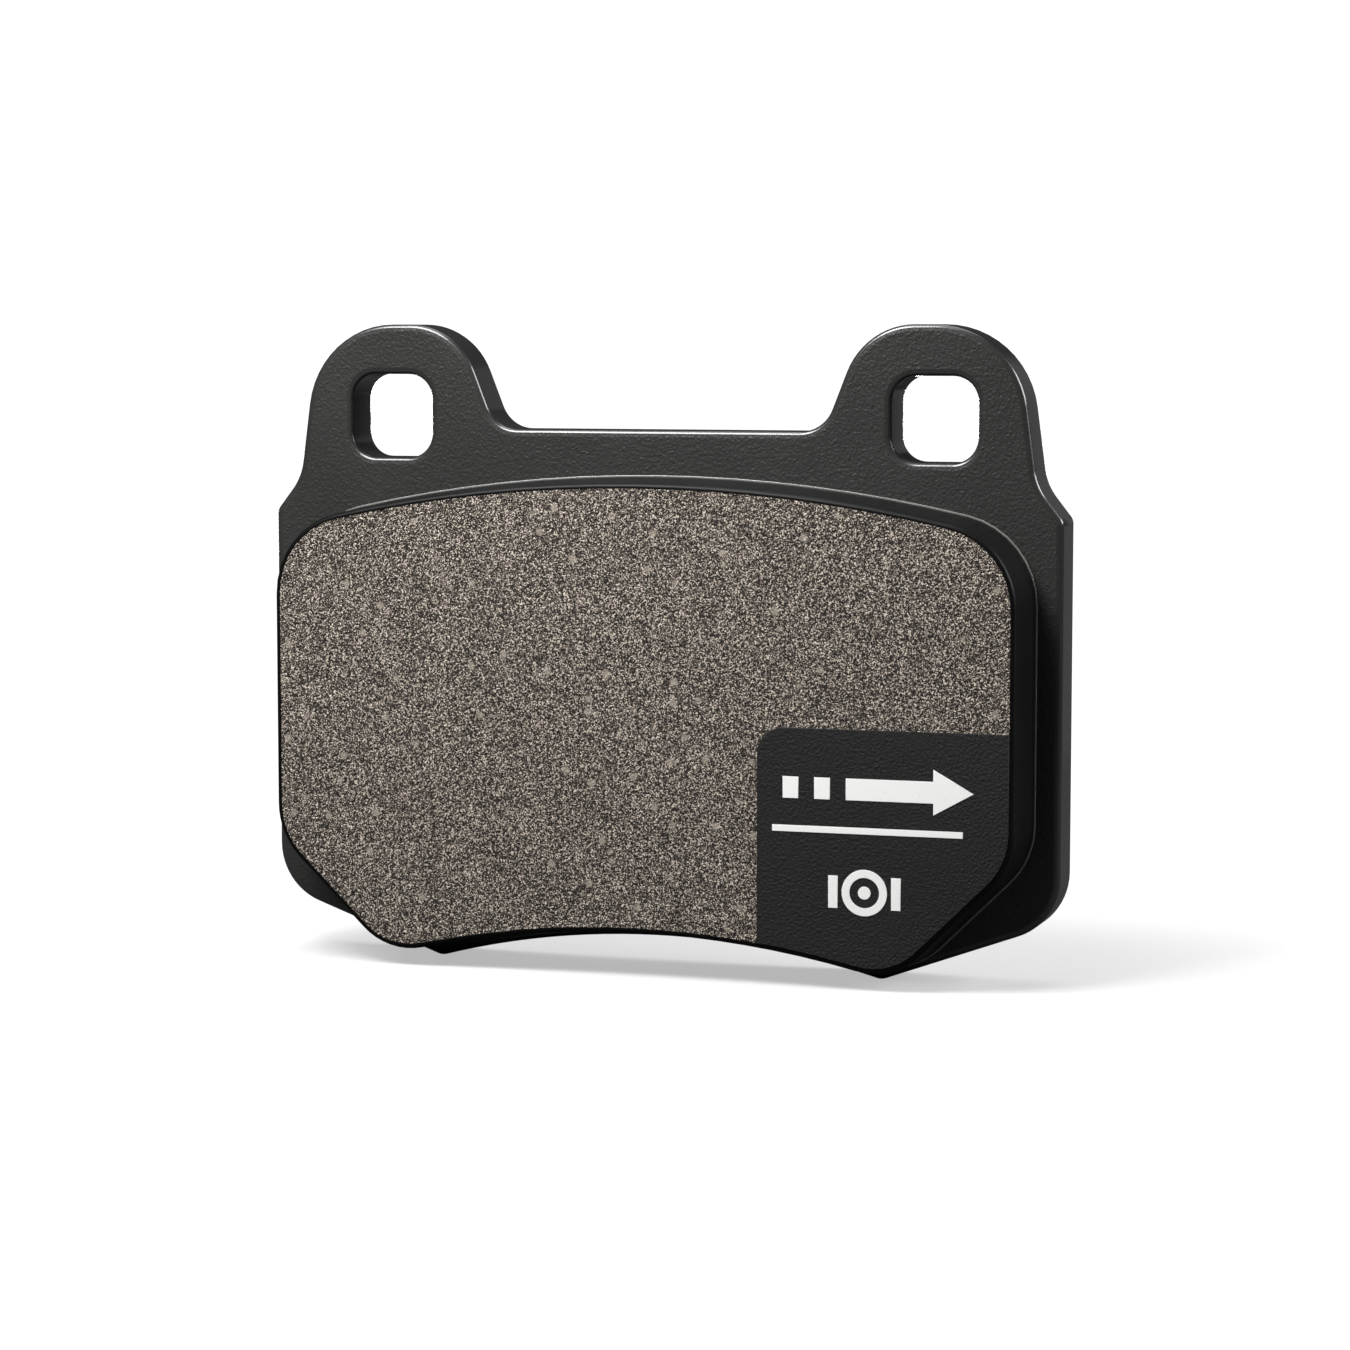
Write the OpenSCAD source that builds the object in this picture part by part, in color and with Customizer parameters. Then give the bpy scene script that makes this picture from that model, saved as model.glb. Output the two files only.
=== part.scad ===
// Disc brake pad for a fixed caliper: a steel backing plate with two pin ears, and a moulded
// friction block bonded and anchored to it, coated on its walls, with a printed panel on its face.
// X runs along the pad, Y from the friction face (-) to the plate's back (+), Z up from the feet.
// The origin is under the middle of the pad, half way through its thickness, level with the feet.

/* [Backing plate] */
// Width of the plate over its straight sides
plate_w = 78; // [64:0.5:96]
// Thickness of the plate
plate_t = 5; // [3:0.25:7]
// Height of the straight edge between the ears, above the feet
neck_z = 51.1; // [42:0.1:62]
// Drop from that edge to the shoulders, where the straight sides begin
shoulder_drop = 8; // [6:0.1:12]
// Angle that the short flare between ear and shoulder faces, up from horizontal
flare_angle = 38; // [25:1:50]
// Radius of the hollow above each shoulder
flare_r = 5.5; // [2:0.1:7]
// Rounding of each shoulder
shoulder_r = 1.2; // [0.5:0.1:2]
// Rounding of each lower corner
corner_r = 6; // [2:0.1:8]
// Rise of the lower edge from each foot out to the side
slope_angle = 20; // [14:0.5:26]
// Distance of each foot in from the side
foot_inset = 17; // [13:0.1:20]
// Rounding of each foot
foot_r = 1.5; // [0.5:0.1:3]
// Height of the arch between the feet
arch_h = 3; // [1:0.1:5]

/* [Ears] */
// Height of the ears above the edge between them
ear_rise = 9.95; // [8:0.05:13]
// Width of each ear where it meets that edge
ear_w = 19.6; // [16:0.1:24]
// Distance of each ear's outer flank in from the side, at the same height
ear_inset = 3.15; // [1.5:0.05:5]
// Lean of each outer flank
outer_lean = 7.6; // [2:0.1:12]
// Lean of each inner flank
inner_lean = 21.5; // [10:0.5:30]
// Rounding of each ear on the outer side
ear_outer_r = 8.8; // [4:0.1:10]
// Rounding of each ear on the inner side
ear_inner_r = 7; // [4:0.1:9]
// Radius of the hollow where each ear meets the edge between them
ear_fillet_r = 3.3; // [1:0.1:5]

/* [Pin holes] */
// Width of each rounded square hole for a retaining pin
pin_hole_w = 8.2; // [6:0.1:10]
// Height of each pin hole
pin_hole_h = 8; // [6:0.1:10]
// Corner radius of each pin hole
pin_hole_r = 2.4; // [1:0.1:3]
// Distance of each pin hole's centre in from the side
pin_inset = 12.15; // [11:0.05:14]
// Height of the pin holes' centres above the edge between the ears
pin_rise = 1.2; // [-2:0.1:3]

/* [Anchor holes] */
// Diameter of the holes that the moulded underlayer fills
anchor_d = 9; // [5:0.5:11]
// Distance between the anchor holes along the pad
anchor_pitch_x = 30; // [20:0.5:36]
// Distance between the anchor holes up the pad
anchor_pitch_z = 17; // [13:0.5:20]
// Clearance round each moulded plug
plug_gap = 0.02; // [0.01:0.01:0.1]

/* [Friction block] */
// Thickness of the friction material
block_t = 5.1; // [2:0.1:10]
// Thickness of the underlayer
under_t = 1.6; // [1:0.1:3]
// Thickness of the adhesive film on the plate
bond_t = 0.15; // [0.1:0.05:0.4]
// Margin between the plate's side and the ground face
face_side_gap = 3.3; // [2.5:0.1:6]
// Margin between the edge between the ears and the top of the ground face
face_top_gap = 5.2; // [2:0.1:10]
// Radius of the ground face's long top edge
crown_r = 138; // [90:1:300]
// Rounding of the ground face's upper corners
face_corner_r = 7.4; // [3:0.1:10]
// Angle that the lower chamfers rise at, from each foot out to the side
chamfer_angle = 44.5; // [38:0.5:50]
// Rounding where each chamfer meets the side
chamfer_r = 6.8; // [2:0.1:9]
// Distance of the ground face's feet in from its own sides
face_foot_inset = 12.8; // [12:0.1:16]
// Height of the ground face's feet
face_foot_z = 2.15; // [2:0.05:4]
// Rounding of the ground face's feet
face_foot_r = 6; // [3:0.1:8]
// Height of the arch between the ground face's feet
face_arch_h = 2.65; // [1:0.05:4]
// Rounding of the block's edge round the ground face
edge_r = 0.4; // [0.2:0.05:0.8]
// Outward slope of the block's walls, from the rounded edge down to the plate
draft = 0.35; // [0.1:0.05:0.8]
// Thickness of the coat on the block's walls
coat_t = 0.1; // [0.05:0.05:0.2]
// How far the squeezed-out adhesive stands proud of the coated walls
bond_rim = 0.15; // [0.05:0.05:0.3]

/* [Printed panel] */
// Width of the panel, from its inner edge to the ground face's side
panel_w = 23.7; // [23:0.1:28]
// Height of the panel's top edge above the feet
panel_z = 24.2; // [23:0.1:30]
// Rounding of the panel's free corner
panel_r = 2.6; // [1:0.1:5]
// Thickness of the panel's film
panel_t = 0.1; // [0.05:0.05:0.3]
// Thickness of the print on the panel
print_t = 0.05; // [0.05:0.05:0.1]
// Length of the direction arrow
arrow_l = 18; // [14:0.5:19]
// Height of the arrow's head
arrow_h = 4.2; // [3:0.1:5]
// Height of the arrow's shaft and bars
shaft_h = 2; // [1.2:0.1:2.6]
// Width of each bar behind the arrow, and of the gap after it
bar_w = 1.5; // [1:0.1:2]
// Thickness of the rule under the arrow
rule_h = 0.6; // [0.4:0.05:1]
// Diameter of the disc mark
disc_d = 4.3; // [3.5:0.1:5]
// Width of the ring that draws the disc
ring_w = 0.75; // [0.5:0.05:1]

/* [Hidden] */
$fn = 96;
arc_steps = 8;
plate_steps = 12;
edge_steps = 3;
through = 1;

// Layers through the thickness, from the back to the print
total_t = plate_t + bond_t + under_t + block_t + panel_t + print_t;
back_y = total_t / 2;
plate_y = back_y - plate_t;
bond_y = plate_y - bond_t;
under_y = bond_y - under_t;
face_y = under_y - block_t;
panel_y = face_y - panel_t;
wall_t = bond_t + under_t + block_t;

// Main places on the plate
side_x = plate_w / 2;
shoulder_z = neck_z - shoulder_drop;
ear_z = neck_z + ear_rise;
ear_outer_x = side_x - ear_inset;
ear_inner_x = ear_outer_x - ear_w;
foot_x = side_x - foot_inset;
pin_x = side_x - pin_inset;
pin_z = neck_z + pin_rise;

// Main places on the ground face
face_x = side_x - face_side_gap;
face_z = neck_z - face_top_gap;
face_foot_x = face_x - face_foot_inset;
face_arch_z = face_foot_z + face_arch_h;
anchor_z = (face_z + face_arch_z) / 2;

// An outline is a chain of arcs [centre, radius, start angle, end angle], joined by straight
// lines. A hollow arc has a negative radius. A line is [angle of its outward normal, distance].
function unit(a) = [cos(a), sin(a)];
function line_at(a, p) = [a, unit(a) * p];
function line_on(a, c, r) = [a, unit(a) * c + r];
function arc_centre(l1, l2, r) =
    let (det = sin(l2[0] - l1[0]), d1 = l1[1] - r, d2 = l2[1] - r)
    [(d1 * sin(l2[0]) - d2 * sin(l1[0])) / det, (d2 * cos(l1[0]) - d1 * cos(l2[0])) / det];
function corner_arc(l1, l2, r) = [arc_centre(l1, l2, r), r, l1[0], l2[0]];
function arc_point(arc, k, grow = 0) =
    arc[0] + (arc[1] + grow) * unit(arc[2] + (arc[3] - arc[2]) * k);
// Points along an arc, up to its end or, where the next arc starts there, one short of it
function arc_points(arc, steps, grow = 0, short = 0) =
    [for (i = [0 : steps - short]) arc_point(arc, i / steps, grow)];
// A right half with its mirror image, where the last point lies on the middle line
function whole(half, first) =
    concat(half, [for (i = [len(half) - 2 : -1 : first]) [-half[i][0], half[i][1]]]);

// Radius of an arch of height h between two feet, and the angle at which it meets them
function arch_radius(x, h, r) = (x * x + h * h - 2 * r * h) / (2 * h);
function arch_angle(x, h, r) = asin(x / (arch_radius(x, h, r) + r));

// The plate's straight edges on its right half, from the top to the foot
neck_line = [90, neck_z];
inner_line = line_at(180 - inner_lean, [ear_inner_x, neck_z]);
top_line = [90, ear_z];
outer_line = line_at(outer_lean, [ear_outer_x, neck_z]);
flare_line = line_at(flare_angle, [side_x, shoulder_z]);
side_line = [0, side_x];
slope_line = line_on(slope_angle - 90, [foot_x, foot_r], foot_r);

// The ear's two top roundings share its top edge, and shrink together if it is too short
top_l = arc_centre(top_line, outer_line, 0)[0] - arc_centre(inner_line, top_line, 0)[0];
inner_need = ear_inner_r * tan((90 - inner_lean) / 2);
outer_need = ear_outer_r * tan((90 - outer_lean) / 2);
ear_fit = min(1, 0.98 * top_l / (inner_need + outer_need));

plate_arcs = [
    corner_arc(neck_line, inner_line, -ear_fillet_r),
    corner_arc(inner_line, top_line, ear_inner_r * ear_fit),
    corner_arc(top_line, outer_line, ear_outer_r * ear_fit),
    corner_arc(outer_line, flare_line, -flare_r),
    corner_arc(flare_line, side_line, shoulder_r),
    corner_arc(side_line, slope_line, corner_r)
];
arch_r = arch_radius(foot_x, arch_h, foot_r);
foot_end = -90 - arch_angle(foot_x, arch_h, foot_r);
foot_arc = [[foot_x, foot_r], foot_r, slope_angle - 90, foot_end];
arch_arc = [[0, arch_h - arch_r], -arch_r, foot_end, -90];

// The ground face's outline on its right half, from the top to the arch
face_side = [0, face_x];
crown_c = [0, face_z - crown_r];
corner_x = face_x - face_corner_r;
crown_angle = 90 - asin(corner_x / (crown_r - face_corner_r));
face_foot = [face_foot_x, face_foot_z + face_foot_r];
chamfer_line = line_on(chamfer_angle - 90, face_foot, face_foot_r);
face_arch_r = arch_radius(face_foot_x, face_arch_h, face_foot_r);
face_arch_angle = -90 - arch_angle(face_foot_x, face_arch_h, face_foot_r);
crown_arc = [crown_c, crown_r, 90, crown_angle];
upper_arc = [crown_c + (crown_r - face_corner_r) * unit(crown_angle), face_corner_r, crown_angle, 0];
lower_arc = corner_arc(face_side, chamfer_line, chamfer_r);
face_foot_arc = [face_foot, face_foot_r, chamfer_angle - 90, face_arch_angle];
face_arch_arc = [[0, face_arch_z - face_arch_r], -face_arch_r, face_arch_angle, -90];

// The whole outline, larger than the ground face by grow all round
function face_ring(grow) = whole(concat(
    arc_points(crown_arc, arc_steps, grow, 1),
    arc_points(upper_arc, arc_steps, grow),
    arc_points(lower_arc, arc_steps, grow),
    arc_points(face_foot_arc, arc_steps, grow, 1),
    arc_points(face_arch_arc, arc_steps, grow)), 1);

// How far the wall stands out from the ground face's outline, at a depth below that face
function wall_grow(depth) = depth < edge_r
    ? sqrt(edge_r * edge_r - (edge_r - depth) * (edge_r - depth))
    : edge_r + draft * (depth - edge_r) / (wall_t - edge_r);

// Depths at which the wall is drawn between two levels, with the rounded edge in small steps
edge_depths = [for (i = [0 : edge_steps]) edge_r * (1 - cos(90 * i / edge_steps))];
function level(depth, grow) = [for (p = face_ring(grow)) [p[0], face_y + depth, p[1]]];

// A closed skin through a list of levels, with flat ends
module lofted(levels) {
    n = len(levels[0]);
    last = len(levels) - 1;
    points = [for (ring = levels) each ring];
    sides = [for (j = [0 : last - 1], i = [0 : n - 1])
        [j * n + i, (j + 1) * n + i, (j + 1) * n + (i + 1) % n, j * n + (i + 1) % n]];
    polyhedron(points, concat(sides,
        [[for (i = [0 : n - 1]) i]],
        [[for (i = [n - 1 : -1 : 0]) last * n + i]]), convexity = 6);
}

// A closed band between an outer and an inner list of levels
module banded(outer, inner) {
    n = len(outer[0]);
    levels = concat(outer, [for (j = [len(inner) - 1 : -1 : 0]) inner[j]]);
    count = len(levels);
    points = [for (ring = levels) each ring];
    sides = [for (j = [0 : count - 1], i = [0 : n - 1])
        [j * n + i, ((j + 1) % count) * n + i, ((j + 1) % count) * n + (i + 1) % n,
         j * n + (i + 1) % n]];
    polyhedron(points, sides, convexity = 6);
}

// A flat layer of the 2D children, from one level towards the friction face
module layer(y, t) {
    translate([0, y, 0])
        rotate([90, 0, 0])
            linear_extrude(t)
                children();
}

module both_sides() {
    children();
    mirror([1, 0])
        children();
}

module plate_outline() {
    polygon(whole(concat(
        [for (arc = plate_arcs) each arc_points(arc, plate_steps)],
        arc_points(foot_arc, plate_steps, 0, 1),
        arc_points(arch_arc, plate_steps)), 0));
}

module rounded_square(w, h, r) {
    square([w - 2 * r, h], center = true);
    square([w, h - 2 * r], center = true);
    for (x = [-1, 1], z = [-1, 1])
        translate([x * (w / 2 - r), z * (h / 2 - r)])
            circle(r);
}

module pin_holes() {
    both_sides()
        translate([pin_x, pin_z])
            rounded_square(pin_hole_w, pin_hole_h, pin_hole_r);
}

module at_anchors() {
    for (x = [-1, 1], z = [-1, 1])
        translate([x * anchor_pitch_x / 2, anchor_z + z * anchor_pitch_z / 2])
            children();
}

module backing_plate() {
    color("#303131")
        difference() {
            layer(back_y, plate_t)
                difference() {
                    plate_outline();
                    pin_holes();
                }
            layer(back_y + through, plate_t + 2 * through)
                at_anchors() circle(d = anchor_d);
        }
}

module bond_film() {
    color("#4a4b4a")
        layer(plate_y, bond_t)
            difference() {
                polygon(face_ring(edge_r + draft + coat_t + bond_rim));
                at_anchors() circle(d = anchor_d);
            }
}

module underlayer() {
    depths = [block_t, block_t + under_t];
    color("#3a3835") {
        lofted([for (d = depths) level(d, wall_grow(d))]);
        layer(back_y, plate_t + bond_t)
            at_anchors() circle(d = anchor_d - 2 * plug_gap);
    }
}

module friction_block() {
    depths = concat(edge_depths, [block_t]);
    color("#73695f")
        lofted([for (d = depths) level(d, wall_grow(d))]);
}

module edge_coat() {
    depths = concat(edge_depths, [block_t, block_t + under_t]);
    color("#222322")
        banded([for (d = depths) level(d, wall_grow(d) + coat_t)],
               [for (d = depths) level(d, wall_grow(d))]);
}

// The printed marks are placed from the panel's free upper corner
panel_x = face_x - panel_w;
arrow_at = [panel_x + 2.5, panel_z - 5.5];
rule_at = [panel_x + 1.5, panel_z - 9.6];
disc_at = [panel_x + 10.3, panel_z - 15];

module panel_outline() {
    intersection() {
        polygon(face_ring(0));
        union() {
            translate([panel_x + panel_r, 0])
                square([panel_w + edge_r, panel_z]);
            translate([panel_x, 0])
                square([panel_w + edge_r, panel_z - panel_r]);
            translate([panel_x + panel_r, panel_z - panel_r])
                circle(panel_r);
        }
    }
}

module label_panel() {
    color("#262726")
        layer(face_y, panel_t)
            panel_outline();
}

// Two bars and a broad arrow that give the disc's direction of turning
module direction_arrow() {
    head_l = arrow_h * 0.9;
    color("white")
        layer(panel_y, print_t)
            translate(arrow_at) {
                for (i = [0, 1])
                    translate([2 * i * bar_w, -shaft_h / 2])
                        square([bar_w, shaft_h]);
                polygon([[4 * bar_w, -shaft_h / 2], [arrow_l - head_l, -shaft_h / 2],
                         [arrow_l - head_l, -arrow_h / 2], [arrow_l, 0],
                         [arrow_l - head_l, arrow_h / 2], [arrow_l - head_l, shaft_h / 2],
                         [4 * bar_w, shaft_h / 2]]);
            }
}

module arrow_rule() {
    color("white")
        layer(panel_y, print_t)
            translate(rule_at)
                square([arrow_l, rule_h]);
}

// A disc seen from its side of the wheel, gripped between two pads
module disc_mark() {
    pad_w = ring_w * 1.2;
    pad_h = disc_d * 0.7;
    pad_gap = ring_w / 2;
    color("white")
        layer(panel_y, print_t)
            translate(disc_at) {
                difference() {
                    circle(d = disc_d);
                    circle(d = disc_d - 2 * ring_w);
                }
                circle(d = ring_w * 1.6);
                both_sides()
                    translate([disc_d / 2 + pad_gap, -pad_h / 2])
                        square([pad_w, pad_h]);
            }
}

backing_plate();
bond_film();
underlayer();
friction_block();
edge_coat();
label_panel();
direction_arrow();
arrow_rule();
disc_mark();
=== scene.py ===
# %% [markdown]
# # A disc brake pad
#
# The pad is one bonded part. A stamped steel backing plate with two ears carries a moulded friction
# block, and a thin underlayer and a film of adhesive lie between them. The plate is powder coated,
# the block's walls are coated black, its face is ground bare, and a printed panel covers one corner.
#
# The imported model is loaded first. It fixes every size and place, so each visible piece starts from
# the solid it stands for, and only its edges, its fine relief and its finish are made here.

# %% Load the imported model
import math

import bmesh
import bpy
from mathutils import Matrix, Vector, noise


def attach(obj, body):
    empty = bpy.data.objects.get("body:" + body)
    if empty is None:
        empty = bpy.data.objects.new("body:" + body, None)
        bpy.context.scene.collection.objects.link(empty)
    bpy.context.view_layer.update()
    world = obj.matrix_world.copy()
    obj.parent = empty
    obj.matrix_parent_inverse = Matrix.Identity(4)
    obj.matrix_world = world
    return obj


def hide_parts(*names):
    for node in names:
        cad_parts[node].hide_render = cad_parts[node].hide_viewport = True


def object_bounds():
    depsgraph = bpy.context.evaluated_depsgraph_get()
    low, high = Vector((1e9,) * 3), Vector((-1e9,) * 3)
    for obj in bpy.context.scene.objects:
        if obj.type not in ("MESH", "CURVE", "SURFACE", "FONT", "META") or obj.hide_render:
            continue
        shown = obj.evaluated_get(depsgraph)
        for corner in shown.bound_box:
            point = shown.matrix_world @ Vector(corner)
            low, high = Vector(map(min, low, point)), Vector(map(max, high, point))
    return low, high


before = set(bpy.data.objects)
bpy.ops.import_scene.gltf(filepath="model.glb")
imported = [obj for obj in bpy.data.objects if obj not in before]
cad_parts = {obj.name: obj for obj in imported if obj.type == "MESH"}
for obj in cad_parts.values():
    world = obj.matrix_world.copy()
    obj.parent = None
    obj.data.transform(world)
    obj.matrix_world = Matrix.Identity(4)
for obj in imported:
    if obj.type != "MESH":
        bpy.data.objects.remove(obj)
cad_low, cad_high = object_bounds()
MM = 0.001
print("nodes:", sorted(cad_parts))
print("box in mm:", [round(v / MM, 2) for v in (*cad_low, *cad_high)])

# %% [markdown]
# ## The camera
#
# The pad stands on its feet with its friction face towards the camera, which is a little to the
# right and a little above the middle. It is a long lens from a third of a metre away, so the far
# side of the pad is only slightly smaller than the near side. The place is given from the middle of
# the pad's face, as it would be measured in a studio, and the two angles, in degrees, say how far
# the lens looks down and how far it is turned to the left.

# %% Camera
CAMERA_PLACE = Vector((107, -317.8, 29.6)) * MM
CAMERA_DOWN = 5.37
CAMERA_TURN = 17.94

face_middle = Vector((0, cad_low.y, (cad_low.z + cad_high.z) / 2))
camera_data = bpy.data.cameras.new("camera")
camera_data.lens = 96.7
camera_data.sensor_width = 36
camera_data.clip_start = 0.01
camera_data.clip_end = 30
camera = bpy.data.objects.new("camera", camera_data)
camera.location = face_middle + CAMERA_PLACE
camera.rotation_euler = (math.radians(90 - CAMERA_DOWN), 0, math.radians(CAMERA_TURN))
bpy.context.scene.collection.objects.link(camera)
bpy.context.scene.camera = camera
bpy.context.scene.view_settings.view_transform = "Standard"
print("camera distance in mm:", round((camera.location - face_middle).length / MM, 1))

# %% [markdown]
# ## Node finishes in a few words
#
# Every finish is a node tree, because a tree bakes and exports at any size. Long trees are hard to
# read, so two small classes shorten them. `Value` wraps one output, and arithmetic on it adds Math
# nodes. `Finish` holds one material, and its `add` makes any other node from the node's type, the
# settings that have to be made first, and the values or links of its sockets.

# %% Tones and values
def tone(red, green, blue):
    """A display colour, 0 to 255 a channel, as the linear colour that a shader takes."""
    channels = [c / 255 for c in (red, green, blue)]
    return (*[c / 12.92 if c < 0.04045 else ((c + 0.055) / 1.055) ** 2.4 for c in channels], 1)


class Value:
    """One number or vector that varies over a surface. Arithmetic on numbers adds Math nodes."""

    def __init__(self, finish, socket):
        self.finish = finish
        self.socket = socket

    def math(self, operation, first, second=0.0):
        return self.finish.add("ShaderNodeMath", {"operation": operation}, {0: first, 1: second})

    def __add__(self, other):
        return self.math("ADD", self, other)

    def __sub__(self, other):
        return self.math("SUBTRACT", self, other)

    def __rsub__(self, other):
        return self.math("SUBTRACT", other, self)

    def __mul__(self, other):
        return self.math("MULTIPLY", self, other)

    def __abs__(self):
        return self.math("ABSOLUTE", self)

    __radd__ = __add__
    __rmul__ = __mul__


print("middle grey as a linear colour:", [round(c, 3) for c in tone(128, 128, 128)])

# %% [markdown]
# ## One finish, one material
#
# A finish starts from its name and from the settings that are the same all over the surface. Those
# go straight onto the shader's sockets, because an export keeps them only there. What varies over
# the surface is worked out from the Object coordinates, which are real metres, so a size of noise
# is a real size on the pad.

# %% Finish
class Finish:
    """One surface finish: a material with its shader, and a short way to add nodes."""

    def __init__(self, name, constants):
        self.material = bpy.data.materials.new(name)
        self.material.use_nodes = True
        self.tree = self.material.node_tree
        self.shader = self.tree.nodes["Principled BSDF"]
        for socket, value in constants.items():
            self.shader.inputs[socket].default_value = value
        self.place = self.add("ShaderNodeTexCoord", {}, {}, "Object")

    def add(self, kind, settings, inputs, output=0):
        node = self.tree.nodes.new(kind)
        for name, setting in settings.items():
            if name == "stops":
                self.set_stops(node.color_ramp, setting)
            else:
                setattr(node, name, setting)
        for name, value in inputs.items():
            if isinstance(value, Value):
                self.tree.links.new(value.socket, node.inputs[name])
            else:
                node.inputs[name].default_value = value
        return Value(self, node.outputs[output])

    def set_stops(self, ramp, stops):
        while len(ramp.elements) < len(stops):
            ramp.elements.new(1.0)
        for element, (position, colour) in zip(ramp.elements, stops):
            element.position = position
            element.color = colour

    def feed(self, socket, value):
        self.tree.links.new(value.socket, self.shader.inputs[socket])

    def noise(self, size, detail=2.0, roughness=0.5, place=None):
        """Soft noise from 0 to 1 whose lumps are about `size` across."""
        sockets = {"Vector": place or self.place, "Scale": 1 / size, "Detail": detail}
        return self.add("ShaderNodeTexNoise", {}, {**sockets, "Roughness": roughness})

    def smooth_step(self, value, low, high):
        """0 below low, 1 above high, and a smooth rise between."""
        settings = {"interpolation_type": "SMOOTHSTEP"}
        return self.add("ShaderNodeMapRange", settings, {0: value, 1: low, 2: high})

    def blend(self, share, first, second):
        """The first colour where share is 0, the second where it is 1."""
        settings = {"data_type": "RGBA"}
        return self.add("ShaderNodeMix", settings, {0: share, 6: first, 7: second}, 2)

    def relief(self, height, depth):
        """Bump of the given depth in metres, fed to the shader's normal."""
        self.feed("Normal", self.add("ShaderNodeBump", {}, {"Height": height, "Distance": depth}))


print("finish tools ready")

# %% [markdown]
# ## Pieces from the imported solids
#
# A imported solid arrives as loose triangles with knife-sharp edges. Real edges are never that sharp:
# a stamped plate is tumbled before it is coated, and the coat itself flows round the corner. The
# shape could be drawn again from nothing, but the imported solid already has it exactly, so each piece
# starts as a copy whose triangles are merged and whose flat faces are made whole again, and the
# edges are bevelled inwards. That keeps the size.

# %% Copy a solid and find its edges
MERGE_WITHIN = 0.002 * MM
SAME_FLAT = math.radians(0.3)
TOWARDS_FACE = Vector((0, -1, 0))
TOWARDS_BACK = Vector((0, 1, 0))


def merged(node):
    """A bmesh copy of a node's solid, joined up, with its flat faces whole."""
    bm = bmesh.new()
    bm.from_mesh(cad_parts[node].data)
    bmesh.ops.remove_doubles(bm, verts=bm.verts[:], dist=MERGE_WITHIN)
    bmesh.ops.dissolve_limit(bm, angle_limit=SAME_FLAT, verts=bm.verts[:], edges=bm.edges[:])
    return bm


def faces_along(bm, direction):
    """The flat faces that look the given way."""
    bm.normal_update()
    return [f for f in bm.faces if f.normal.dot(direction) > 0.999]


def rim_of(faces):
    """The edges where a group of faces ends."""
    group = set(faces)
    edges = {e for f in faces for e in f.edges}
    return [e for e in edges if sum(f in group for f in e.link_faces) == 1]


print("solids to start from:", len(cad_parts))

# %% [markdown]
# ## From an edge to a finished piece
#
# Two more helpers end the work on every piece. The first rounds edges with a bevel. The second
# turns the bmesh into an object, gives it its finish, and hides the imported node that it stands in
# for. Every face is shaded smooth there, and weighted normals then keep the large flat faces looking
# flat and leave the soft turn of light to the narrow rounded ones.

# %% Round edges and finish a piece
def rounded(bm, edges, radius, segments):
    """Rounds edges and returns the narrow faces of the rounding."""
    made = bmesh.ops.bevel(
        bm,
        geom=edges,
        offset=radius,
        offset_type="OFFSET",
        affect="EDGES",
        segments=segments,
        profile=0.5,
        material=-1,
        clamp_overlap=False,
    )
    return made["faces"]


def piece(bm, name, node, finish):
    """The finished object: smooth faces, flat ones kept flat, riding on the pad for its node."""
    mesh = bpy.data.meshes.new(name)
    bmesh.ops.recalc_face_normals(bm, faces=bm.faces[:])
    for face in bm.faces:
        face.smooth = True
    bm.to_mesh(mesh)
    bm.free()
    mesh.materials.append(finish.material)
    made = bpy.data.objects.new(name, mesh)
    bpy.context.scene.collection.objects.link(made)
    keep_flat = made.modifiers.new("keep_flat", "WEIGHTED_NORMAL")
    keep_flat.weight = 100
    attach(made, "root")
    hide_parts(node)
    print(name, "faces:", len(mesh.polygons))


print("piece tools ready")

# %% [markdown]
# ## The backing plate's powder coat
#
# The plate is black powder coat. The powder melts into a skin with a fine leather-like grain about
# a third of a millimetre across. It lies thick and charcoal on the two flat faces. The spray reaches
# the walls at a slant, so they are a little smoother, and their darker grey is painted shade that
# keeps them dim under the lamps. The skin is drawn thin and glossy over the rounded edges. An image
# of leather would repeat and would not bake cleanly, so two sizes of noise make the grain. The
# surface's own direction tells faces from walls, and an attribute painted on the rounded edges takes
# the grain away there and adds the gloss.

# %% Powder coat
COAT_GRAIN = 0.3 * MM
COAT_CREASE = 0.45 * MM
COAT_CLOUD = 9 * MM
COAT_RELIEF = 0.1 * MM


def powder_coat():
    constants = {"Specular IOR Level": 0.35, "Coat Roughness": 0.14, "Coat IOR": 1.7}
    coat = Finish("powder_coat", constants)
    edge = coat.add("ShaderNodeAttribute", {"attribute_name": "edge"}, {}, "Fac")
    facing = coat.add("ShaderNodeTexCoord", {}, {}, "Normal")
    facing_y = coat.add("ShaderNodeSeparateXYZ", {}, {0: facing}, "Y")
    flat = coat.smooth_step(abs(facing_y), 0.6, 0.98)
    skin = coat.noise(COAT_GRAIN, detail=3, roughness=0.55)
    crease = abs(coat.noise(COAT_CREASE, detail=1) - 0.5) * 2
    grain = skin * 0.6 + crease * 0.4
    cloud = coat.noise(COAT_CLOUD, detail=3)
    front = coat.blend(skin * 0.5 + cloud * 0.5, tone(36, 36, 35), tone(51, 51, 50))
    # The walls get a darker grey than the faces: painted shade.
    coat.feed("Base Color", coat.blend(flat, tone(30, 30, 30), front))
    coat.feed("Roughness", 0.45 - edge * 0.1 + (cloud - 0.5) * 0.1)
    coat.feed("Coat Weight", edge * 0.45)
    coat.relief(grain * (flat * 0.8 + 0.2) * (1 - edge * 0.8), COAT_RELIEF)
    return coat


plate_finish = powder_coat()
print("powder coat nodes:", len(plate_finish.tree.nodes))

# %% [markdown]
# ## The backing plate
#
# The plate's two faces meet its walls at a small radius left by tumbling, and that radius is what
# catches the light as a thin bright line. A bevel on edges whose corners meet other edges at a slant
# can fold over itself, so each face is inset first. The inset leaves a clean band of four-sided
# faces along every rim, and the bevel stays inside it.

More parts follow.
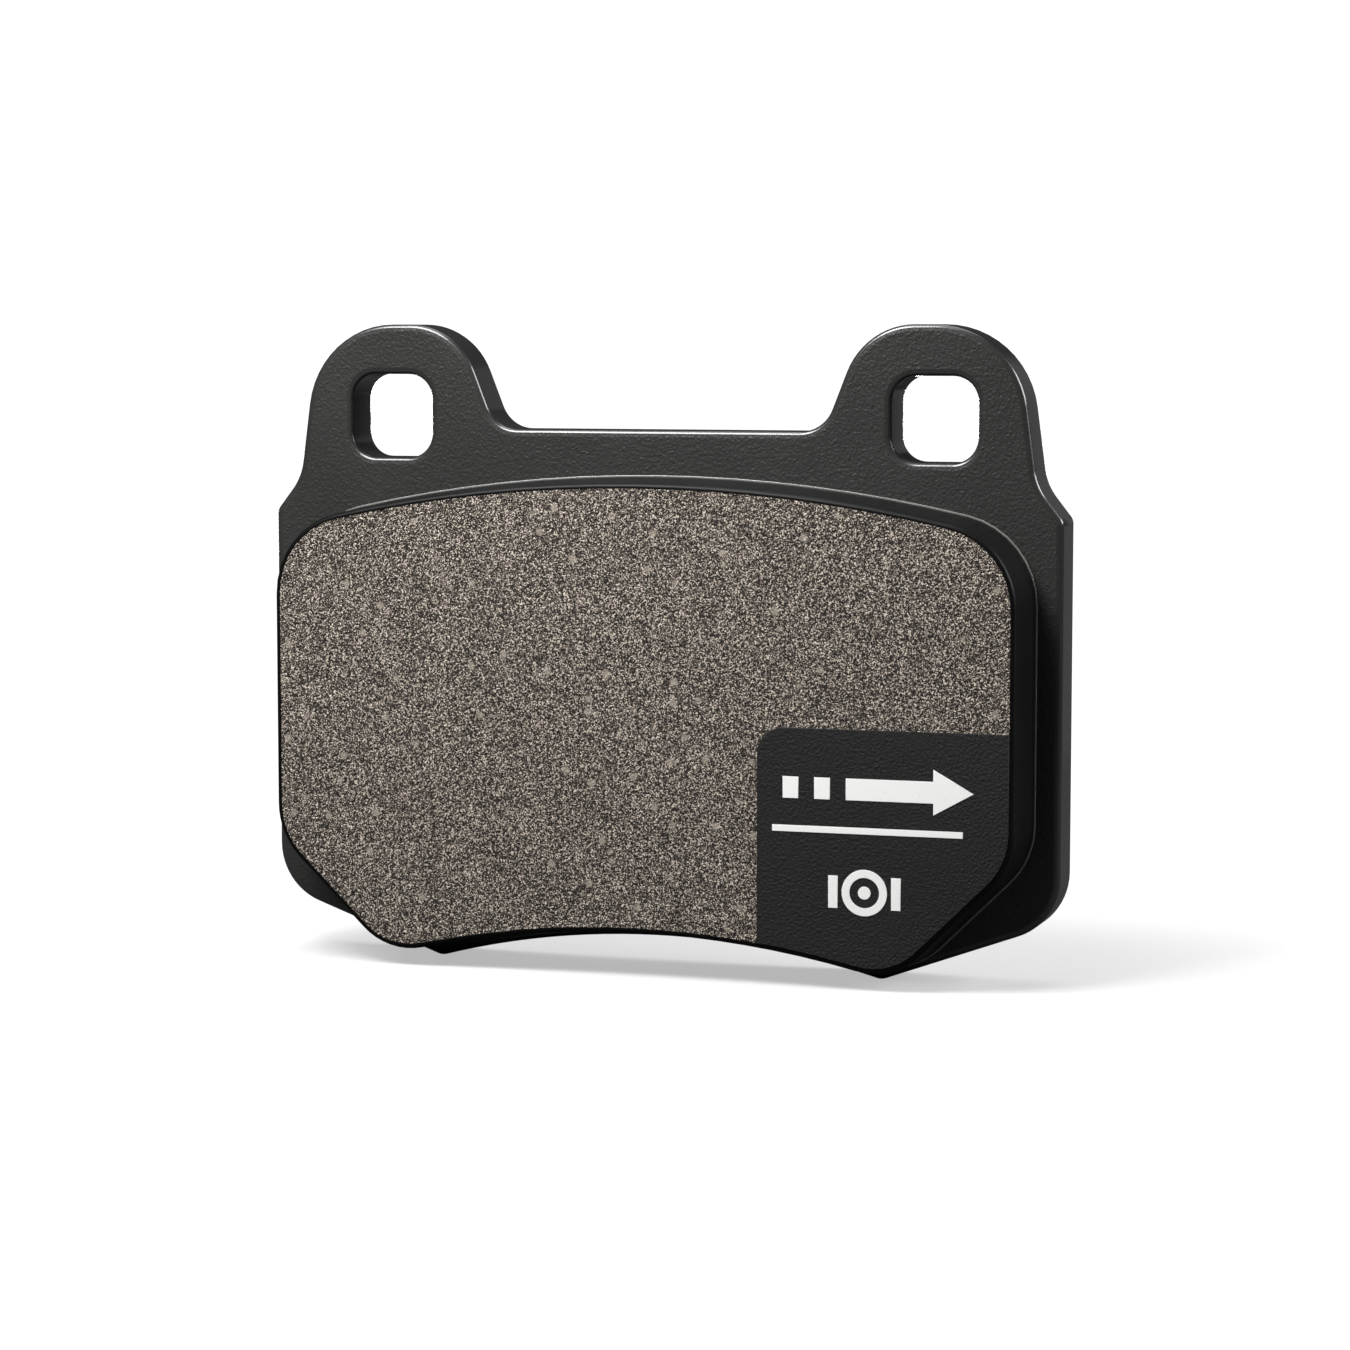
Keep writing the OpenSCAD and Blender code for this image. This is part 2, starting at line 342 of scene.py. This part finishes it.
# %% Backing plate
EDGE_ROUND = 0.42 * MM
INSET_BAND = 0.65 * MM


def backing_plate():
    bm = merged("backing_plate")
    edge = bm.verts.layers.float.new("edge")
    for way in (TOWARDS_FACE, TOWARDS_BACK):
        bmesh.ops.inset_region(
            bm, faces=faces_along(bm, way), thickness=INSET_BAND, use_even_offset=True
        )
        rounding = rounded(bm, rim_of(faces_along(bm, way)), EDGE_ROUND, segments=4)
        for vert in {v for f in rounding for v in f.verts}:
            vert[edge] = 1.0
    piece(bm, "backing_plate_coated", "backing_plate", plate_finish)


backing_plate()

# %% [markdown]
# ## The glue line
#
# The film of adhesive is pressed out a little all round the block, and sets as a fine glossy bead
# along the foot of its wall. The film's outer edge is rounded to give that bead. Its pale grey is
# partly painted highlight, which brightens the line that the bead's real gloss draws.

# %% Adhesive film
GLUE_STREAK = 2.5 * MM
GLUE_RIPPLE = 0.5 * MM
GLUE_RELIEF = 0.01 * MM
BEAD_ROUND = 0.07 * MM


def adhesive():
    glue = Finish("adhesive", {"Specular IOR Level": 0.6, "Roughness": 0.22})
    streak = glue.noise(GLUE_STREAK, detail=2)
    # The pale grey is partly the glue's own tone and partly painted highlight on the bead's line.
    glue.feed("Base Color", glue.blend(streak, tone(104, 103, 101), tone(130, 128, 125)))
    glue.relief(glue.noise(GLUE_RIPPLE), GLUE_RELIEF)
    return glue


def bond_film():
    bm = merged("bond_film")
    rounded(bm, rim_of(faces_along(bm, TOWARDS_FACE)), BEAD_ROUND, segments=3)
    piece(bm, "bond_film_bead", "bond_film", adhesive())


bond_film()

# %% [markdown]
# ## The underlayer
#
# The underlayer is a softer, fibrous mix that keeps heat from the caliper. Only its four plugs show,
# at the back, where they fill the plate's anchor holes. Their ends are pressed flat and have a
# coarse, crumbly look with paler fibres, which noise stretched along one direction gives.

# %% Underlayer
MIX_LUMP = 0.7 * MM
MIX_FIBRE = 0.26 * MM
FIBRE_STRETCH = (1.0, 1.0, 0.4)
MIX_RELIEF = 0.06 * MM
PLUG_ROUND = 0.12 * MM


def fibrous_mix():
    mix = Finish("fibrous_mix", {"Specular IOR Level": 0.3})
    lumps = mix.noise(MIX_LUMP, detail=4, roughness=0.65)
    stretched = mix.add("ShaderNodeMapping", {}, {0: mix.place, 3: FIBRE_STRETCH})
    fibre = mix.smooth_step(mix.noise(MIX_FIBRE, detail=1, place=stretched), 0.6, 0.74)
    body = mix.blend(lumps, tone(62, 57, 51), tone(112, 104, 94))
    mix.feed("Base Color", mix.blend(fibre * 0.5, body, tone(146, 137, 120)))
    mix.feed("Roughness", 0.75 + lumps * 0.2)
    mix.relief(lumps + fibre * 0.3, MIX_RELIEF)
    return mix


def underlayer():
    bm = merged("underlayer")
    rounded(bm, rim_of(faces_along(bm, TOWARDS_BACK)), PLUG_ROUND, segments=2)
    piece(bm, "underlayer_plugs", "underlayer", fibrous_mix())


underlayer()

# %% [markdown]
# ## The friction mix
#
# The mix is pressed from fibres, metal powder, graphite and mineral grains, then ground flat, so
# its face is a speckle of cut grains. Most are one to three tenths of a millimetre across, from near
# black to beige, with a few bigger pale flecks. Cells with one shade each look like tiles, and noise
# alone looks like a cloud, so both are used: the cells give the grains their edges, a fine noise
# called dust breaks them up, and a slow one lets the shade drift from patch to patch. Their sum
# picks a shade from a ramp, and another noise bends the cells so that none has straight sides.

# %% Friction mix
GRAIN = 0.13 * MM
DUST = 0.125 * MM
PATCH = 3.5 * MM
FLECK_SPACING = 2.8 * MM
SWAY_SIZE = 0.25 * MM
SWAY_REACH = 0.15 * MM
GRAIN_RELIEF = 0.15 * MM
GRAIN_SHADES = (
    (0.00, tone(26, 22, 19)),
    (0.20, tone(70, 62, 55)),
    (0.45, tone(109, 99, 90)),
    (0.68, tone(139, 128, 118)),
    (0.88, tone(180, 168, 155)),
    (1.00, tone(224, 213, 199)),
)


def cells(finish, size, place, output):
    """Cells about `size` across. Color is one random shade each, Distance grows from the middle."""
    return finish.add("ShaderNodeTexVoronoi", {}, {"Vector": place, "Scale": 1 / size}, output)


def swayed(finish):
    """The place on the surface, pushed a little this way and that by noise."""
    sway_inputs = {0: finish.place, "Scale": 1 / SWAY_SIZE}
    sway = finish.add("ShaderNodeTexNoise", {}, sway_inputs, "Color")
    centring = {0: sway, 1: (0.5, 0.5, 0.5)}
    centred = finish.add("ShaderNodeVectorMath", {"operation": "SUBTRACT"}, centring)
    reach = {0: centred, "Scale": SWAY_REACH}
    push = finish.add("ShaderNodeVectorMath", {"operation": "SCALE"}, reach)
    return finish.add("ShaderNodeVectorMath", {"operation": "ADD"}, {0: finish.place, 1: push})


def friction_mix():
    mix = Finish("friction_mix", {"Specular IOR Level": 0.35})
    bent = swayed(mix)
    shade = mix.add("ShaderNodeSeparateColor", {}, {0: cells(mix, GRAIN, bent, "Color")}, 0)
    dust = mix.noise(DUST, detail=1)
    patch = mix.noise(PATCH, detail=3, roughness=0.6)
    mixed = shade * 0.9 + (dust - 0.5) * 4.2 + (patch - 0.5) * 0.2 - 0.15
    speckle = mix.add("ShaderNodeValToRGB", {"stops": GRAIN_SHADES}, {0: mixed})
    fleck = 1 - mix.smooth_step(cells(mix, FLECK_SPACING, bent, "Distance"), 0.08, 0.17)
    mix.feed("Base Color", mix.blend(fleck * 0.65, speckle, tone(176, 166, 152)))
    mix.feed("Roughness", 0.72 + dust * 0.2)
    from_middle = cells(mix, GRAIN, bent, "Distance")
    mix.relief(dust * 0.7 - from_middle * 0.5 + shade * 0.3, GRAIN_RELIEF)
    return mix


friction_finish = friction_mix()
print("friction mix nodes:", len(friction_finish.tree.nodes))

# %% [markdown]
# ## The ground face's relief
#
# Grinding leaves a flat face that is open on a small scale: shallow pits where grains tore out and
# low lumps where hard ones stand. A bump would fake them, but a real relief also shows where light
# grazes the face, and it is part of the mesh itself. Heights are in millimetres. The whole relief
# is sunk by a fiftieth of a millimetre, so the highest lumps are about level with the imported face.

# %% Relief of the ground face
LUMP_SIZE = 1.3 * MM
LUMP_HEIGHT = 0.012
GRAIN_SIZE = 0.55 * MM
GRAIN_HEIGHT = 0.016
PIT_SIZE = 0.9 * MM
PIT_DEPTH = 0.16
PIT_RARITY = 0.38
PIT_SHIFT = Vector((9, 4, 7))
RELIEF_DROP = 0.02


def face_relief(point):
    """How far a point of the ground face stands out, in metres."""
    lumps = noise.noise(point / LUMP_SIZE) * LUMP_HEIGHT
    grains = noise.noise(point / GRAIN_SIZE) * GRAIN_HEIGHT
    pit = max(0.0, noise.noise(point / PIT_SIZE + PIT_SHIFT) - PIT_RARITY) * PIT_DEPTH
    return (lumps + grains - pit - RELIEF_DROP) * MM


print("relief at the face's middle in mm:", round(face_relief(face_middle) / MM, 3))

# %% [markdown]
# ## The friction block
#
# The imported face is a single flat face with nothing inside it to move. Subdividing it would make
# long thin triangles, so it is ruled into small squares instead, by cutting it along both
# directions. Then each inner corner moves in or out by the relief, and the rim stays where it is, so
# the block still meets the coat on its walls.

# %% Friction block
RULING = 0.36 * MM
ACROSS = 0
UP = 2


def cut_across(bm, faces, axis, pitch):
    """Cuts faces at an even pitch along an axis, always only the ones not yet passed."""
    done = []
    along = [v.co[axis] for f in faces for v in f.verts]
    place = min(along) + pitch
    normal = Vector([float(i == axis) for i in range(3)])
    while place < max(along):
        around = {g for f in faces for g in (f, *f.edges, *f.verts)}
        out = bmesh.ops.bisect_plane(
            bm, geom=list(around), dist=1e-8, plane_co=normal * place, plane_no=normal
        )
        parts = [g for g in out["geom"] if isinstance(g, bmesh.types.BMFace)]
        faces = [f for f in parts if f.calc_center_median()[axis] > place]
        done += [f for f in parts if f.calc_center_median()[axis] <= place]
        place += pitch
    return done + faces


def friction_block():
    bm = merged("friction_block")
    ground = faces_along(bm, TOWARDS_FACE)
    ground = cut_across(bm, ground, ACROSS, RULING)
    ground = cut_across(bm, ground, UP, RULING)
    rim = {v for e in rim_of(ground) for v in e.verts}
    for vert in {v for f in ground for v in f.verts} - rim:
        vert.co.y -= face_relief(vert.co)
    piece(bm, "friction_block_ground", "friction_block", friction_finish)


friction_block()

# %% [markdown]
# ## The coat on the block's walls
#
# The walls are sprayed satin black before the face is ground, so the coat follows every wall, turns
# over the rounded edge and stops in a thin dark line where the grinding cut through it.

# %% Wall coat
PAINT_CLOUD = 6 * MM
PAINT_PEEL = 0.6 * MM
PAINT_RELIEF = 0.012 * MM


def wall_paint():
    paint = Finish("wall_paint", {"Specular IOR Level": 0.12})
    cloud = paint.noise(PAINT_CLOUD, detail=3)
    peel = paint.noise(PAINT_PEEL, detail=2)
    paint.feed("Base Color", paint.blend(cloud, tone(8, 8, 8), tone(12, 12, 12)))
    paint.feed("Roughness", 0.38 + cloud * 0.1)
    paint.relief(peel, PAINT_RELIEF)
    return paint


def edge_coat():
    bm = merged("edge_coat")
    piece(bm, "edge_coat_sprayed", "edge_coat", wall_paint())


edge_coat()

# %% [markdown]
# ## The panel and its print
#
# A thin black film covers the lower corner of the face, with the same fine grain as the plate, and
# white marks are printed on it: an arrow for the wheel's turning direction, a rule, and a disc
# between two pads. The marks are plain signs. Ink has no gloss and breaks up a little over the
# grain, which a fine noise in its colour shows.

# %% Panel film and ink
FILM_GRAIN = 0.27 * MM
FILM_CLOUD = 8 * MM
FILM_RELIEF = 0.14 * MM
INK_GRAIN = 0.3 * MM
INK_RELIEF = 0.01 * MM


def panel_film():
    film = Finish("panel_film", {"Specular IOR Level": 0.25})
    skin = film.noise(FILM_GRAIN, detail=3, roughness=0.55)
    cloud = film.noise(FILM_CLOUD, detail=2)
    film.feed("Base Color", film.blend(skin * 0.5 + cloud * 0.5, tone(27, 27, 27), tone(38, 38, 38)))
    film.feed("Roughness", 0.52 + cloud * 0.08)
    film.relief(skin, FILM_RELIEF)
    return film


def white_ink():
    ink = Finish("white_ink", {"Specular IOR Level": 0.3, "Roughness": 0.6})
    skin = ink.noise(INK_GRAIN, detail=3, roughness=0.6)
    thin = ink.smooth_step(skin, 0.2, 0.42)
    ink.feed("Base Color", ink.blend(thin, tone(226, 226, 224), tone(250, 250, 248)))
    ink.relief(skin, INK_RELIEF)
    return ink


film_finish = panel_film()
ink_finish = white_ink()
print("ink nodes:", len(ink_finish.tree.nodes))

# %% [markdown]
# ## Film and marks as thin layers
#
# A film is cut with a blade and a print is laid down wet, so both have a soft front rim and nothing
# else to shape. One function makes the film and the three marks. Each mark stays a piece of its
# own, so another user of this pad can leave one out.

# %% Panel and marks
FILM_ROUND = 0.07 * MM
INK_ROUND = 0.02 * MM


def printed(node, name, finish, radius):
    """A thin layer with its front rim rounded."""
    bm = merged(node)
    rounded(bm, rim_of(faces_along(bm, TOWARDS_FACE)), radius, segments=2)
    piece(bm, name, node, finish)


printed("label_panel", "label_panel_film", film_finish, FILM_ROUND)
for mark in ("direction_arrow", "arrow_rule", "disc_mark"):
    printed(mark, mark + "_ink", ink_finish, INK_ROUND)

# %% [markdown]
# ## The floor
#
# The pad stands on a plain white table, which has two jobs. Near the pad it takes the soft shadow,
# and farther out it is the same even white as the surround, so that no edge of it shows. So the
# floor is part paper and part glow near the pad and turns to glow alone farther out. It is much
# darker as a source of light than it looks, or it would fill the shaded side of the block from
# below. The floor lies a hair under the feet, so that two faces never share one place.

# %% Floor
FLOOR_RADIUS = 0.2
FLOOR_GAP = 0.02 * MM
PAPER_TO = 42 * MM
GLOW_FROM = 88 * MM
PAPER_SEEN = 0.36
PAPER_AS_LIGHT = 0.07
GLOW_SEEN = 0.46
WHITE_SEEN = 1.1


def grey(level):
    """A neutral linear colour."""
    return (level, level, level, 1)


def white_paper():
    paper = Finish("white_paper", {"Roughness": 0.9, "Specular IOR Level": 0.0})
    seen = paper.add("ShaderNodeLightPath", {}, {}, "Is Camera Ray")
    length = paper.add("ShaderNodeVectorMath", {"operation": "LENGTH"}, {0: paper.place}, "Value")
    away = paper.smooth_step(length, PAPER_TO, GLOW_FROM)
    seen_base = paper.blend(away, grey(PAPER_SEEN), grey(0))
    seen_glow = paper.blend(away, grey(GLOW_SEEN), grey(WHITE_SEEN))
    paper.feed("Base Color", paper.blend(seen, grey(PAPER_AS_LIGHT), seen_base))
    paper.feed("Emission Color", paper.blend(seen, grey(0), seen_glow))
    paper.shader.inputs["Emission Strength"].default_value = 1
    return paper


def white_floor():
    bm = bmesh.new()
    bmesh.ops.create_circle(bm, cap_ends=True, radius=FLOOR_RADIUS, segments=96)
    for vert in bm.verts:
        vert.co.z = cad_low.z - FLOOR_GAP
    mesh = bpy.data.meshes.new("floor")
    bm.to_mesh(mesh)
    bm.free()
    mesh.materials.append(white_paper().material)
    floor = bpy.data.objects.new("floor", mesh)
    bpy.context.scene.collection.objects.link(floor)
    print("floor radius in mm:", round(FLOOR_RADIUS / MM))


white_floor()

# %% [markdown]
# ## The surround
#
# The camera sees a white surround, and the pad is lit by a far dimmer one, as it would be in a dark
# room with a white sheet behind the table. The world has one strength, so the kind of ray picks it:
# a ray from the camera gets the bright level, and every other ray the dim one.

# %% Surround
DIM_LIGHT = 0.02


def surround(seen, lighting):
    """White to the camera, and dimmer as a source of light."""
    world = bpy.data.worlds.new("surround")
    bpy.context.scene.world = world
    world.use_nodes = True
    nodes = world.node_tree.nodes
    links = world.node_tree.links
    sky = nodes["Background"]
    rays = nodes.new("ShaderNodeLightPath")
    level = nodes.new("ShaderNodeMapRange")
    level.inputs["To Min"].default_value = lighting
    level.inputs["To Max"].default_value = seen
    links.new(rays.outputs["Is Camera Ray"], level.inputs["Value"])
    links.new(level.outputs["Result"], sky.inputs["Strength"])
    sky.inputs["Color"].default_value = (1, 1, 1, 1)
    print("surround as light:", lighting)


surround(seen=WHITE_SEEN, lighting=DIM_LIGHT)

# %% [markdown]
# ## The soft boxes
#
# A broad box overhead draws the bright lines along the top edges. Two keys, a small one close by and
# a large one far off, light the face from the upper left and leave the channel right of the block in
# shade. The box on the right draws the plate's right flank. Two more stand behind the pad: a very
# weak one is caught by the walls that are seen at a slant, and a low one lights the plate's back.

# %% Soft boxes
SOFT_BOXES = (
    # name, place from the face's middle, width and height, power in watts
    ("top_box", (-0.1, 0.03, 0.8), (1.2, 0.5), 5),
    ("near_key", (-0.042, -0.076, 0.13), (0.08, 0.08), 0.405),
    ("left_key", (-0.5, -0.6, 0.85), (0.4, 0.4), 4.8),
    ("right_box", (0.42, 0.09, 0.2), (0.3, 0.2), 2.3),
    ("back_box", (0.13, 0.6, 0.04), (0.12, 0.3), 0.018),
    ("rear_box", (-0.2, 0.5, -0.005), (0.3, 0.04), 1.2),
)


def soft_box(name, place, size, power):
    """An area light at a place in metres from the face's middle, aimed at it."""
    light = bpy.data.lights.new(name, "AREA")
    light.shape = "RECTANGLE"
    light.size, light.size_y = size
    light.energy = power
    lamp = bpy.data.objects.new(name, light)
    lamp.location = face_middle + Vector(place)
    lamp.rotation_euler = (face_middle - lamp.location).to_track_quat("-Z", "Y").to_euler()
    lamp.visible_camera = False
    bpy.context.scene.collection.objects.link(lamp)
    print(name, "power in watts:", power)


for box in SOFT_BOXES:
    soft_box(*box)
